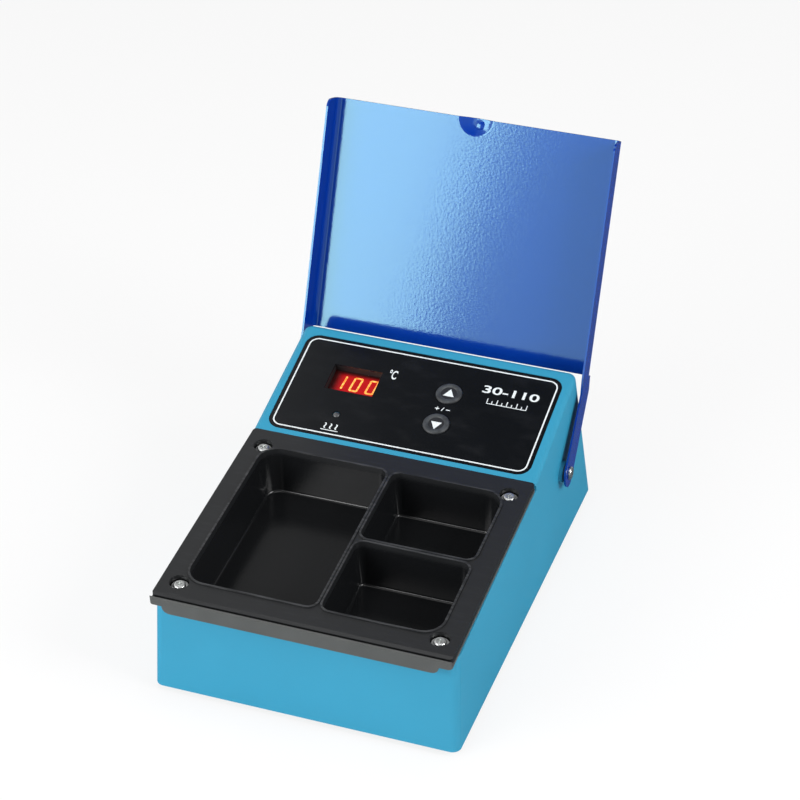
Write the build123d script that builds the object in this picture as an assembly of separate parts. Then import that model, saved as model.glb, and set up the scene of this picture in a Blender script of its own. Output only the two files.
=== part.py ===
from build123d import *
import math
import os

# Dental laboratory wax heater: a drafted plastic housing that holds a cast tray with
# three wells, a temperature controller under a sloping panel, and a hinged steel lid.
# Millimetres, +Z up, +X to the user's right, +Y to the back. While the pieces are made,
# y = 0 is the foot of the panel and z = 0 is the table. At the end everything is moved
# so that the origin is at the centre of the footprint. The lid is modelled closed and
# then turned about its rivets to where it rests open.

# ---- Overall sizes: the tray and the panel set the rest -------------------------------
tray_width = 150.0
tray_length = 132.0
tray_angle = 5.1
panel_length = 77.6
panel_angle = 14.8
panel_foot_height = 72.7
foot_height = 3.0
wall = 3.0
corner_radius = 4.5
panel_edge_radius = 3.0
panel_side_gap = 0.25
front_draft = 2.9
side_flare = 3.17
tray_overhang = 3.6
rear_slope = 28.05

# ---- Named clearances ----------------------------------------------------------------
slip = 0.15
screw_play = 0.05
running_play = 0.075
gap = 0.3
touch = 0.02

# ---- Wax tray: a cast plate with three drafted wells ---------------------------------
plate_thickness = 3.0
plate_corner = 2.0
plate_front_gap = 1.2
plate_bevel_run = 1.8
plate_bevel_drop = 0.55
well_depth = 25.0
well_draft = 6.0
well_wall = 2.5
well_floor = 3.0
rim_height = 0.6
rim_width = 1.1
floor_round = 1.5
outer_corner = 10.0
inner_corner = 5.0
left_border = 11.0
right_border = 11.4
front_border = 14.5
rear_border = 12.8
rib_x = 2.5
rib_s = 65.2
rib_width = 2.6

# ---- Insulating frame between the tray and the housing -------------------------------
frame_thickness = 1.5
frame_side_lip = 0.4
frame_front_lip = 1.5
lip_thickness = 1.25
lip_level = -0.4
skirt_height = 4.2
skirt_inset = 6.0
skirt_corner = 3.8

# ---- Tray screws ---------------------------------------------------------------------
tray_screw_side = 9.7
tray_screw_front = 12.3
tray_screw_rear = 12.0
screw_radius = 1.5
screw_head_radius = 3.1
screw_head_height = 1.9
washer_radius = 4.3
washer_thickness = 0.6
recess_radius = 4.9
recess_depth = 3.5
recess_wall = 0.7
tray_screw_length = 14.0
housing_boss_radius = 3.6
housing_boss_length = 16.0
opening_margin = 0.4

# ---- Heater stack under the wells ----------------------------------------------------
mat_inset = 4.6
mat_thickness = 1.5
clamp_inset = 2.6
clamp_thickness = 1.5
pad_thickness = 6.0
shield_inset = 1.6
shield_thickness = 0.8
stack_corner = 5.0
stack_screw_inset = 13.8
stack_boss_radius = 4.0
stack_screw_radius = 2.0
stack_head_radius = 3.5
stack_head_height = 2.6
stack_thread_depth = 1.6
probe_radius = 2.0
probe_length = 24.0
probe_x = 2.0
cutout_radius = 2.2
cutout_length = 11.0
cutout_lead = 6.0
cutout_x = -34.0

# ---- Control panel -------------------------------------------------------------------
label_margin = 4.55
label_front_s = 3.2
label_rear_margin = 6.9
label_radius = 7.0
label_recess = 0.8
label_thickness = 0.6
window_centre = (-36.4, 44.2)
window_size = (26.3, 17.4)
bezel_wall = 0.8
bezel_depth = 5.0
bezel_flange = 2.0
bezel_flange_thickness = 1.1
lens_thickness = 0.8
display_centre = (-35.9, 45.6)
display_size = (30.0, 16.0)
button_x = 15.0
button_up_s = 46.9
button_down_s = 25.4
button_radius = 7.0
button_proud = 0.7
button_flange_radius = 8.6
button_flange_thickness = 1.0
button_travel = 0.4
stem_radius = 2.0
led_position = (-37.1, 19.3)
led_radius = 2.0
led_flange_radius = 2.6
led_flange_thickness = 1.5
led_proud = 0.5

# ---- Control board under the panel ---------------------------------------------------
board_level = -12.0
board_thickness = 1.6
board_corner = 1.5
board_x = -8.0
board_side_margin = 18.1
board_end_margin = 9.0
board_screw_inset = 5.0
board_boss_radius = 3.0
board_screw_length = 7.0
board_head_radius = 2.7
board_head_height = 1.8
tact_size = 6.0
tact_height = 4.0
tact_plunger_radius = 1.7
tact_plunger_height = 1.2
chip_size = (14.0, 9.0, 2.4)
chip_position = (-30.0, 30.0)
relay_size = (19.0, 15.5, 15.0)
relay_position = (24.0, 37.0)

# ---- Power board on the base plate ---------------------------------------------------
base_plate_thickness = 1.2
base_plate_gap = 0.5
power_board_centre = (0.0, 34.0)
power_board_size = (104.0, 52.0)
standoff_height = 6.0
standoff_radius = 3.0
transformer_size = (35.0, 30.0, 25.0)
transformer_x = -26.0
terminal_pitch = 7.5
terminal_ways = 6
terminal_size = (10.0, 13.0)
terminal_x = 18.0
terminal_rear_gap = 20.025
terminal_hole_radius = 1.9
terminal_hole_floor = 6.0
wire_way = 4.0
heatsink_size = (26.0, 14.0, 22.0)
heatsink_wall = 3.0
heatsink_fins = 6
fin_thickness = 1.2
heatsink_centre = (18.0, 22.0)
triac_size = (10.0, 4.4, 15.0)
triac_lead = 4.0
lead_pitch = 2.54

# ---- Base plate fixings and feet -----------------------------------------------------
base_screw_side = 8.6
base_screw_front = 15.9
base_screw_rear = 21.8
base_boss_radius = 4.0
base_boss_height = 20.0
base_screw_length = 9.0
foot_side = 22.6
foot_front = 17.9
foot_rear = 23.8
foot_radius = 7.0
foot_neck_radius = 2.9
foot_bulb_radius = 3.7
foot_bulb_height = 2.4
vent_length = 34.0
vent_width = 3.0
vent_pitch = 8.0
vent_count = 7
vent_rows = (-90.0, -40.0)

# ---- Rear wall fittings, measured along and up the sloping wall ----------------------
fitting_height = 30.0
inlet_x = -38.0
inlet_cutout = (27.4, 20.2)
inlet_flange = (50.0, 24.0)
inlet_flange_thickness = 3.0
inlet_socket = (24.4, 16.6)
inlet_socket_depth = 15.0
inlet_body_depth = 18.0
inlet_screw_spacing = 40.0
inlet_screw_length = 10.0
inlet_pin = (2.0, 4.0, 13.0)
inlet_pin_pitch = 14.0
inlet_pin_offset = 2.0
inlet_tab_length = 7.0
nut_radius = 3.1
nut_thickness = 2.4
switch_x = 6.0
switch_cutout = (13.2, 19.4)
switch_flange = (15.0, 21.0)
switch_flange_thickness = 2.0
switch_body_depth = 12.0
switch_floor = 2.5
switch_tab = (0.8, 4.8, 7.0)
rocker_size = (10.4, 16.4)
rocker_proud = 0.4
rocker_tilt = 9.0
rocker_pivot_depth = 1.2
rocker_pivot_radius = 1.2
fuse_x = 44.0
fuse_hole_radius = 6.2
fuse_collar_radius = 8.0
fuse_collar_thickness = 2.0
fuse_body_length = 24.0
fuse_bore_radius = 4.4
fuse_cap_radius = 5.6
fuse_cap_height = 6.0
fuse_cap_slot = (8.0, 1.6)
fuse_stem_length = 3.0
cap_grips = 12
grip_radius = 0.8
glass_fuse_radius = 2.6
glass_fuse_length = 20.0
fuse_nut_radius = 9.0
fuse_nut_thickness = 3.0

# ---- Lid, in the tray's own directions while it is closed ----------------------------
lid_thickness = 1.0
lid_side_gap = 2.9
lid_rear_gap = 1.4
lid_front_gap = 6.9
lid_clearance = 0.4
lid_flange_depth = 15.2
lid_flange_tail = 8.0
lid_flange_corner = 4.5
lid_bend_round = 2.6
arm_toe_angle = 3.0
lid_open_angle = 115.6
dimple_radius = 9.2
dimple_depth = 2.0
dimple_round = 2.0
pip_radius = 2.9
pip_height = 0.8
pip_place = (2.0, 3.9)
pivot_back = 46.7
pivot_drop = 23.3
arm_end_radius = 7.5
pivot_radius = 2.5
hinge_pad_radius = 5.6
spacer_thickness = 0.8
spacer_radius = 5.0
arm_play = 0.3
rivet_head_radius = 3.5
rivet_head_height = 1.1
rivet_washer_thickness = 0.8
rivet_washer_radius = 5.0
rivet_tail_radius = 3.8
rivet_tail_thickness = 1.2

# ---- Sizes that follow from those ----------------------------------------------------
tray_rad = math.radians(tray_angle)
panel_rad = math.radians(panel_angle)
lean = math.tan(math.radians(front_draft))
tray_front_y = -tray_length * math.cos(tray_rad)
tray_front_z = panel_foot_height - tray_length * math.sin(tray_rad)
panel_rear_y = panel_length * math.cos(panel_rad)
panel_rear_z = panel_foot_height + panel_length * math.sin(panel_rad)
base_front_y = tray_front_y + tray_overhang
base_rear_y = panel_rear_y + rear_slope
rear_rad = math.atan2(rear_slope, panel_rear_z - foot_height)
top_width = tray_width - 2 * panel_side_gap
base_width = top_width + 2 * side_flare
side_slope = side_flare / (panel_rear_z - foot_height)

tray_plane = Plane((0, tray_front_y, tray_front_z), (1, 0, 0), (0, -math.sin(tray_rad), math.cos(tray_rad)))
panel_plane = Plane((0, 0, panel_foot_height), (1, 0, 0), (0, -math.sin(panel_rad), math.cos(panel_rad)))
rear_plane = Plane((0, base_rear_y, foot_height), (-1, 0, 0), (0, math.cos(rear_rad), math.sin(rear_rad)))

deck_level = -(plate_thickness + frame_thickness)
wells_left = left_border - tray_width / 2
wells_right = tray_width / 2 - right_border
wells_front = front_border
wells_rear = tray_length - rear_border
wells_size = (wells_right - wells_left, wells_rear - wells_front)
wells_middle = ((wells_left + wells_right) / 2, (wells_front + wells_rear) / 2)
mat_top = -(well_depth + well_floor)
clamp_top = mat_top - mat_thickness
pad_top = clamp_top - clamp_thickness
shield_top = pad_top - pad_thickness
stack_bottom = shield_top - shield_thickness
thread_end = mat_top + stack_thread_depth

label_half_width = top_width / 2 - label_margin
label_rear_s = panel_length - label_rear_margin
label_middle = (0, (label_front_s + label_rear_s) / 2)
label_floor = -label_recess
label_top = label_floor + label_thickness
panel_underside = -wall
board_top = board_level + board_thickness
board_size = (top_width - 2 * board_side_margin, panel_length - 2 * board_end_margin)
board_centre = (board_x, panel_length / 2 - 1)
plate_top_z = foot_height + base_plate_thickness
power_board_z = plate_top_z + standoff_height
power_board_top = power_board_z + board_thickness
terminal_centre = (terminal_x, panel_rear_y - terminal_rear_gap - terminal_size[0] / 2)
fuse_stem_radius = fuse_bore_radius - running_play

pivot_y = pivot_back
pivot_z = panel_foot_height - pivot_drop
lid_inner = rim_height + lid_clearance
lid_outer = lid_inner + lid_thickness
lid_half_width = tray_width / 2 + lid_side_gap
lid_front_s = lid_front_gap
lid_rear_s = tray_length - lid_rear_gap
pivot_place = tray_plane.to_local_coords(Vector(0, pivot_y, pivot_z))
pivot_s, pivot_t = pivot_place.Y, pivot_place.Z
arm_spread = math.tan(math.radians(arm_toe_angle))
arm_wide = lid_half_width + arm_spread * (pivot_s - lid_rear_s)
arm_swing = arm_spread * rivet_head_radius
arm_thick = lid_thickness / math.cos(math.radians(arm_toe_angle))
rivet_head_underside = arm_wide + arm_swing + arm_play
spacer_face = arm_wide - arm_thick - arm_spread * spacer_radius - arm_play
hinge_pad_face = spacer_face - spacer_thickness


# ---- Small helpers -------------------------------------------------------------------
def prism(sketch, low, high):
    """The sketch as a solid from one level to another, above its own plane."""
    return Pos(0, 0, low) * extrude(sketch, amount=high - low)


def slab(size, low, high, centre=(0.0, 0.0), radius=0.0):
    outline = RectangleRounded(size[0], size[1], radius) if radius else Rectangle(size[0], size[1])
    return prism(Pos(centre[0], centre[1]) * outline, low, high)


def sunk(sketch, top, depth):
    """The sketch carried downwards from a level, drawn in by the draft of the casting."""
    return Pos(0, 0, top) * mirror(extrude(sketch, amount=depth, taper=well_draft), Plane.XY)


def disc(radius, low, high, centre=(0.0, 0.0)):
    return Pos(centre[0], centre[1], low) * extrude(Circle(radius), amount=high - low)


def bar(radius, start, length, x, level):
    """A round bar that lies along y."""
    return Plane((x, start, level), (1, 0, 0), (0, 1, 0)).location * extrude(Circle(radius), amount=length)


def rod(radius, start, end, y=0.0, level=0.0):
    """A round bar that lies along x, from one x to another."""
    return Plane((start, y, level), (0, 1, 0), (1, 0, 0)).location * extrude(Circle(radius), amount=end - start)


def hinge_rod(radius, start, end):
    return rod(radius, start, end, pivot_y, pivot_z)


def on(plane, shape):
    return plane.location * shape


def both_sides(shape):
    return shape + mirror(shape, Plane.YZ)


def corners(half_x, half_y, centre=(0.0, 0.0)):
    return [(centre[0] + i * half_x, centre[1] + j * half_y) for i in (-1, 1) for j in (-1, 1)]


def joined(shapes):
    total = shapes[0]
    for shape in shapes[1:]:
        total = total + shape
    return total


def discs(radius, low, high, places):
    return joined([disc(radius, low, high, place) for place in places])


def grown(size, amount):
    """A width and a length, each larger by the amount on both sides."""
    return (size[0] + 2 * amount, size[1] + 2 * amount)


def pan_screw(centre, under_head, head_radius, head_height, radius, length):
    """A pan-head screw that points down, with a cross recess."""
    top = under_head + head_height
    head = disc(head_radius, under_head, top, centre)
    head = fillet(head.edges().sort_by(Axis.Z)[-1], head_height * 0.55)
    reach = head_radius * 1.1
    blade = head_radius * 0.26
    floor = under_head + head_height * 0.35
    cross = slab((reach, blade), floor, top + 1, centre) + slab((blade, reach), floor, top + 1, centre)
    return head - cross + disc(radius, under_head - length, under_head, centre)


def screws_up(places, under_head, head_radius, head_height, radius, length):
    """Pan-head screws driven upwards, their heads hanging below the given level."""
    upward = Rot(180, 0, 0) * pan_screw((0, 0), 0, head_radius, head_height, radius, length)
    return joined([Pos(place[0], place[1], under_head) * upward for place in places])


# ---- Where the fasteners are ---------------------------------------------------------
def tray_screw_places():
    side = tray_width / 2 - tray_screw_side
    return [(x, s) for x in (-side, side) for s in (tray_screw_front, tray_length - tray_screw_rear)]


def stack_screw_places():
    return corners(wells_size[0] / 2 - stack_screw_inset, wells_size[1] / 2 - stack_screw_inset, wells_middle)


def board_screw_places():
    return corners(board_size[0] / 2 - board_screw_inset, board_size[1] / 2 - board_screw_inset, board_centre)


def power_screw_places():
    half_x, half_y = power_board_size[0] / 2, power_board_size[1] / 2
    return corners(half_x - board_screw_inset, half_y - board_screw_inset, power_board_centre)


def base_screw_places():
    side = base_width / 2 - base_screw_side
    return [(x, y) for x in (-side, side) for y in (base_front_y + base_screw_front, base_rear_y - base_screw_rear)]


def foot_places():
    side = base_width / 2 - foot_side
    return [(x, y) for x in (-side, side) for y in (base_front_y + foot_front, base_rear_y - foot_rear)]


def inlet_screw_places():
    return [(inlet_x + i * inlet_screw_spacing / 2, fitting_height) for i in (-1, 1)]


def inlet_pin_places():
    half = inlet_pin_pitch / 2
    low, high = fitting_height - inlet_pin_offset, fitting_height + inlet_pin_offset
    return [(inlet_x - half, low), (inlet_x + half, low), (inlet_x, high)]


def button_places():
    return [(button_x, button_up_s), (button_x, button_down_s)]


# ---- Housing -------------------------------------------------------------------------
def housing_profile(inset, bottom):
    """Side view of the housing, drawn in (y, z) down to the bottom and moved in by the wall."""
    low = bottom - inset
    deck_front = on(tray_plane, Vertex(0, 0, deck_level)).center()
    step = on(tray_plane, Vertex(0, tray_length + slip, deck_level)).center()
    rise = math.tan(tray_rad)
    front_z = (deck_front.Z + rise * (base_front_y - lean * foot_height - deck_front.Y)) / (1 - rise * lean)
    points = [
        (base_front_y + lean * (low - foot_height), low),
        (base_front_y + lean * (front_z - foot_height), front_z),
        (step.Y, step.Z),
        (0, panel_foot_height),
        (panel_rear_y, panel_rear_z),
        (base_rear_y - math.tan(rear_rad) * (low - foot_height), low),
    ]
    face = make_face(Polyline(*points, close=True))
    return offset(face, amount=-inset, kind=Kind.INTERSECTION) if inset else face


def housing_block(inset, bottom):
    """The housing's outside, or the space inside it, with rounded upright corners."""
    across = Plane((0, 0, 0), (0, 1, 0), (1, 0, 0)).location
    side = across * extrude(housing_profile(inset, bottom), amount=base_width, both=True)
    top = panel_rear_z + foot_height
    low_half = base_width / 2 - inset + side_slope * (foot_height - bottom)
    high_half = base_width / 2 - inset - side_slope * (top - foot_height)
    points = [(-low_half, bottom), (low_half, bottom), (high_half, top), (-high_half, top)]
    along = Plane((0, 0, 0), (1, 0, 0), (0, -1, 0)).location
    front = along * extrude(make_face(Polyline(*points, close=True)), amount=2 * tray_length, both=True)
    block = side & front
    upright = [e for e in block.edges()
               if abs((e @ 0).Z - (e @ 1).Z) > panel_foot_height / 2 and abs((e @ 0).X) > top_width / 3]
    return fillet(upright, corner_radius - inset)


def round_panel_edges(block):
    """Softens the edges round the panel's sides and back."""
    panel = [f for f in block.faces() if f.normal_at().Z > 0.9 and f.center().Y > 0][0]
    chosen = [e for e in panel.edges() if (e @ 0.5).Y > 5]
    return fillet(chosen, panel_edge_radius)


def wells_outline(margin):
    """The outline round all three wells, used by the casting and by what clears it."""
    size = grown(wells_size, margin)
    return Pos(*wells_middle) * RectangleRounded(size[0], size[1], outer_corner + margin)


def housing_bosses():
    low = deck_level - housing_boss_length
    top = plate_top_z + base_boss_height
    bosses = [on(tray_plane, discs(housing_boss_radius, low, deck_level - 1, tray_screw_places()))]
    bosses += [on(panel_plane, discs(board_boss_radius, board_top, panel_underside + 1, board_screw_places()))]
    bosses += [discs(base_boss_radius, plate_top_z, top, base_screw_places())]
    for x, y in base_screw_places():
        web = (3 * base_boss_radius, base_boss_radius)
        bosses.append(slab(web, plate_top_z, top, (math.copysign(abs(x) + base_boss_radius, x), y)))
    return joined(bosses)


def screw_holes():
    low = deck_level - housing_boss_length + 1
    top = plate_top_z + base_boss_height - 2
    radius = screw_radius + screw_play
    return (on(tray_plane, discs(radius, low, 5, tray_screw_places()))
            + on(panel_plane, discs(radius, board_top - 1, panel_underside + 1, board_screw_places()))
            + discs(radius, 0, top, base_screw_places()))


def panel_cuts():
    label = (2 * label_half_width, label_rear_s - label_front_s)
    cuts = slab(grown(label, slip), label_floor, 5, label_middle, label_radius + slip)
    cuts += slab(grown(window_size, bezel_wall + slip / 2), -10, 1, window_centre)
    cuts += disc(led_radius + slip, -10, 1, led_position)
    return on(panel_plane, cuts + discs(button_radius + gap, -10, 1, button_places()))


def rear_cuts():
    cuts = slab(inlet_cutout, -8, 1, (inlet_x, fitting_height), 2.0)
    cuts += slab(switch_cutout, -8, 1, (switch_x, fitting_height))
    cuts += disc(fuse_hole_radius, -8, 1, (fuse_x, fitting_height))
    return on(rear_plane, cuts + discs(screw_radius + screw_play, -8, 1, inlet_screw_places()))


def housing():
    outside = round_panel_edges(housing_block(0.0, foot_height))
    inside = housing_block(wall, foot_height - 5)
    pads = both_sides(hinge_rod(hinge_pad_radius, hinge_pad_face - 2, hinge_pad_face))
    body = outside - inside + (housing_bosses() & outside) + pads
    body -= on(tray_plane, prism(wells_outline(well_wall + opening_margin), mat_top, 5))
    body -= screw_holes()
    body -= both_sides(hinge_rod(pivot_radius + screw_play, top_width / 3, base_width))
    return body - panel_cuts() - rear_cuts()


# ---- Wax tray and its frame ----------------------------------------------------------
def well_outlines(margin=0.0):
    """The three wells at the rim: one large on the left, two small on the right."""
    right_edge = rib_x + rib_width
    wells = [
        (wells_left, rib_x, wells_front, wells_rear),
        (right_edge, wells_right, wells_front, rib_s),
        (right_edge, wells_right, rib_s + rib_width, wells_rear),
    ]
    outlines = []
    for x0, x1, s0, s1 in wells:
        size = grown((x1 - x0, s1 - s0), margin)
        middle = ((x0 + x1) / 2, (s0 + s1) / 2)
        small = RectangleRounded(size[0], size[1], inner_corner + margin)
        large = RectangleRounded(size[0], size[1], outer_corner + margin)
        outline = small
        for x, s in corners(size[0] / 2, size[1] / 2):
            outside_x = min(abs(middle[0] + x - wells_left), abs(middle[0] + x - wells_right)) < 2 * rim_width
            outside_s = min(abs(middle[1] + s - wells_front), abs(middle[1] + s - wells_rear)) < 2 * rim_width
            if outside_x and outside_s:
                patch = Pos(x / 2, s / 2) * Rectangle(size[0] / 2, size[1] / 2)
                outline = outline - (patch - large)
        outlines.append(Pos(*middle) * outline)
    return outlines


def front_bevel():
    """The wedge that comes off the plate's front edge, drawn in (s, level)."""
    steep = plate_bevel_drop / plate_bevel_run
    front = plate_front_gap - 1
    wedge = [(plate_front_gap + plate_bevel_run, 0), (front, -plate_bevel_drop - steep), (front, 1),
             (plate_front_gap + plate_bevel_run, 1)]
    along = Plane((-tray_width, 0, 0), (0, 1, 0), (1, 0, 0)).location
    return along * extrude(make_face(Polyline(*wedge, close=True)), amount=2 * tray_width)


def wax_tray():
    size = (tray_width, tray_length - plate_front_gap)
    plate = slab(size, -plate_thickness, 0, (0, (tray_length + plate_front_gap) / 2), plate_corner)
    tray = plate - front_bevel() + sunk(wells_outline(well_wall), 0.0, well_depth + well_floor)
    tray += joined([prism(outline, -1, rim_height) for outline in well_outlines(rim_width)])
    tray += discs(recess_radius + recess_wall, deck_level, -1, tray_screw_places())
    tray += discs(stack_boss_radius, clamp_top, mat_top + 1, stack_screw_places())
    tray -= discs(recess_radius, -recess_depth, 5, tray_screw_places())
    tray -= discs(screw_radius + gap, deck_level - 1, 5, tray_screw_places())
    tray -= discs(stack_screw_radius + screw_play, clamp_top - 1, thread_end, stack_screw_places())
    for outline in well_outlines():
        pocket = sunk(outline, rim_height, well_depth + rim_height)
        tray -= fillet(pocket.edges().group_by(Axis.Z)[0], floor_round)
    return on(tray_plane, tray)


def base_front_s(level):
    """How far behind the tray's front edge the housing's front face is, at a level."""
    z = tray_front_z + level * math.cos(tray_rad)
    y = base_front_y + lean * (z - foot_height)
    return (y - tray_front_y + level * math.sin(tray_rad)) / math.cos(tray_rad)


def frame_skirt():
    """The band that hangs from the frame in front of the housing, its lower corners rounded."""
    low = deck_level - skirt_height
    back = base_front_s(low) - slip
    size = (tray_width - 2 * skirt_inset, back + frame_front_lip)
    band = slab(size, low, deck_level + 0.5, (0, (back - frame_front_lip) / 2))
    return fillet(band.edges().filter_by(Axis.Y).group_by(Axis.Z)[0], skirt_corner)


def tray_frame():
    size = (tray_width + 2 * frame_side_lip, tray_length + frame_front_lip)
    middle = (0, (tray_length - frame_front_lip) / 2)
    flange = slab(size, deck_level, -plate_thickness, middle, plate_corner)
    lip = slab(size, deck_level, lip_level, middle, plate_corner)
    lip -= slab((2 * size[0], 2 * tray_length), -20, 5, (0, tray_length + lip_thickness - frame_front_lip))
    body = flange + lip + frame_skirt()
    body -= prism(wells_outline(well_wall + opening_margin), -20, 5)
    return on(tray_plane, body - discs(recess_radius + recess_wall + gap, -20, 5, tray_screw_places()))


def tray_screws():
    under = -recess_depth + washer_thickness
    return on(tray_plane, joined([
        pan_screw(place, under, screw_head_radius, screw_head_height, screw_radius, tray_screw_length)
        for place in tray_screw_places()]))


def tray_washers():
    rings = discs(washer_radius, -recess_depth, -recess_depth + washer_thickness, tray_screw_places())
    return on(tray_plane, rings - discs(screw_radius + slip, -recess_depth - 1, 0, tray_screw_places()))


# ---- Heater stack --------------------------------------------------------------------
def stack_sheet(inset, low, high, hole_radius):
    """One sheet of the stack under the wells, with its four holes."""
    sheet = slab(grown(wells_size, -inset), low, high, wells_middle, stack_corner)
    return sheet - discs(hole_radius, low - 1, high + 1, stack_screw_places())


def heater_mat():
    return on(tray_plane, stack_sheet(mat_inset, clamp_top, mat_top, stack_boss_radius + gap))


def heater_clamp():
    return on(tray_plane, stack_sheet(clamp_inset, pad_top, clamp_top, stack_screw_radius + slip))


def heat_shield():
    return on(tray_plane, stack_sheet(shield_inset, stack_bottom, shield_top, stack_screw_radius + slip))


def insulation_pad():
    """The pad has a groove for the probe and one for the cut-out and its leads."""
    pad = stack_sheet(clamp_inset, shield_top, pad_top, stack_screw_radius + slip)
    for x, radius, length in (
        (probe_x, probe_radius, probe_length),
        (cutout_x, cutout_radius, cutout_length + 2 * cutout_lead),
    ):
        floor = pad_top - 2 * radius - gap
        pad -= slab(grown((2 * radius, length), gap), floor, pad_top + 1, (x, wells_middle[1]))
    return on(tray_plane, pad)


def heater_screws():
    length = thread_end - gap - stack_bottom
    return on(tray_plane, screws_up(
        stack_screw_places(), stack_bottom, stack_head_radius, stack_head_height, stack_screw_radius, length))


def temperature_probe():
    start = wells_middle[1] - probe_length / 2
    return on(tray_plane, bar(probe_radius, start, probe_length, probe_x, pad_top - probe_radius - touch))


def thermal_cutout():
    start = wells_middle[1] - cutout_length / 2
    level = pad_top - cutout_radius - touch
    lead_length = cutout_length + 2 * cutout_lead
    body = bar(cutout_radius, start, cutout_length, cutout_x, level)
    return on(tray_plane, body + bar(0.5, start - cutout_lead, lead_length, cutout_x, level))


# ---- Panel pieces --------------------------------------------------------------------
def panel_label():
    size = (2 * label_half_width, label_rear_s - label_front_s)
    sheet = slab(size, label_floor, label_top, label_middle, label_radius)
    sheet -= slab(window_size, -5, 5, window_centre)
    sheet -= disc(led_radius + slip, -5, 5, led_position)
    return on(panel_plane, sheet - discs(button_radius + gap, -5, 5, button_places()))


def display_bezel():
    outer = grown(window_size, bezel_wall - slip / 2)
    flange_top = panel_underside - touch
    ring = slab(outer, -bezel_depth, label_floor - touch, window_centre)
    ring += slab(grown(outer, bezel_flange), flange_top - bezel_flange_thickness, flange_top, window_centre)
    return on(panel_plane, ring - slab(window_size, -20, 5, window_centre))


def display_window():
    size = grown(window_size, -screw_play)
    return on(panel_plane, slab(size, -bezel_depth, -bezel_depth + lens_thickness, window_centre))


def display_module():
    return on(panel_plane, slab(display_size, board_top, -bezel_depth - touch, display_centre))


def button_cap(place):
    """A round key with a flange that keeps it behind the panel and a stem to its switch."""
    flange_top = panel_underside - gap
    stem_end = board_top + tact_height + tact_plunger_height + button_travel + gap
    crown = disc(button_radius, flange_top, label_top + button_proud, place)
    crown = fillet(crown.edges().sort_by(Axis.Z)[-1], 0.5)
    crown += disc(button_flange_radius, flange_top - button_flange_thickness, flange_top, place)
    return on(panel_plane, crown + disc(stem_radius, stem_end, flange_top, place))


def button_up():
    return button_cap(button_places()[0])


def button_down():
    return button_cap(button_places()[1])


def tact_switches():
    top = board_top + tact_height
    bodies = [slab((tact_size, tact_size), board_top, top, place, 0.4) for place in button_places()]
    plungers = discs(tact_plunger_radius, board_top, top + tact_plunger_height, button_places())
    return on(panel_plane, joined(bodies) + plungers)


def heating_led():
    body = disc(led_radius, board_top, label_top + led_proud, led_position)
    body = fillet(body.edges().sort_by(Axis.Z)[-1], led_radius * 0.9)
    return on(panel_plane, body + disc(led_flange_radius, board_top, board_top + led_flange_thickness, led_position))


# ---- Control board -------------------------------------------------------------------
def control_board():
    board = slab(board_size, board_level, board_top, board_centre, board_corner)
    return on(panel_plane, board - discs(screw_radius + slip, board_level - 1, board_top + 1, board_screw_places()))


def controller_chip():
    return on(panel_plane, slab(chip_size[:2], board_level - chip_size[2], board_level, chip_position))


def relay():
    return on(panel_plane, slab(relay_size[:2], board_level - relay_size[2], board_level, relay_position, 0.8))


def board_screws():
    return on(panel_plane, screws_up(
        board_screw_places(), board_level, board_head_radius, board_head_height, screw_radius, board_screw_length))


# ---- Base plate, feet and the power board --------------------------------------------
def base_plate():
    """A sheet that closes the housing from below, with two rows of slots for air."""
    inside = housing_block(wall + base_plate_gap, foot_height - 5)
    size = 2 * (tray_length + panel_length)
    plate = inside & Pos(0, 0, foot_height) * extrude(Rectangle(size, size), amount=base_plate_thickness)
    plate -= discs(screw_radius + slip, 0, 10, base_screw_places())
    plate -= discs(screw_radius + screw_play, 0, 10, power_screw_places())
    plate -= discs(foot_neck_radius + slip, 0, 10, foot_places())
    slot = Rot(0, 0, 90) * SlotOverall(vent_length, vent_width)
    for y in vent_rows:
        for i in range(vent_count):
            x = (i - (vent_count - 1) / 2) * vent_pitch
            plate -= Pos(x, y) * prism(slot, 0, 10)
    return plate


def feet():
    """Push-in rubber feet: a pad, a neck through the plate and a bulb above it."""
    pads = []
    for place in foot_places():
        pad = disc(foot_radius, 0, foot_height, place)
        pad = fillet(pad.edges().sort_by(Axis.Z)[0], 0.8)
        bulb = disc(foot_bulb_radius, plate_top_z + touch, plate_top_z + foot_bulb_height, place)
        bulb = fillet(bulb.edges().sort_by(Axis.Z)[-1], 1.2)
        pads.append(pad + disc(foot_neck_radius, foot_height, plate_top_z + 1, place) + bulb)
    return joined(pads)


def base_screws():
    return screws_up(
        base_screw_places(), foot_height, board_head_radius, board_head_height, screw_radius, base_screw_length)


def power_standoffs():
    tubes = discs(standoff_radius, plate_top_z, power_board_z, power_screw_places())
    return tubes - discs(screw_radius + screw_play, 0, 30, power_screw_places())


def power_board():
    board = slab(power_board_size, power_board_z, power_board_top, power_board_centre, board_corner)
    return board - discs(screw_radius + screw_play, 0, 30, power_screw_places())


def power_board_screws():
    length = power_board_top - foot_height + 0.5
    return joined([
        pan_screw(place, power_board_top, board_head_radius, board_head_height, screw_radius, length)
        for place in power_screw_places()])


def transformer():
    top = power_board_top + transformer_size[2]
    core = slab(transformer_size[:2], power_board_top, top, (transformer_x, power_board_centre[1]), 1.5)
    return fillet(core.faces().sort_by(Axis.Z)[-1].edges(), 1.0)


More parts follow.
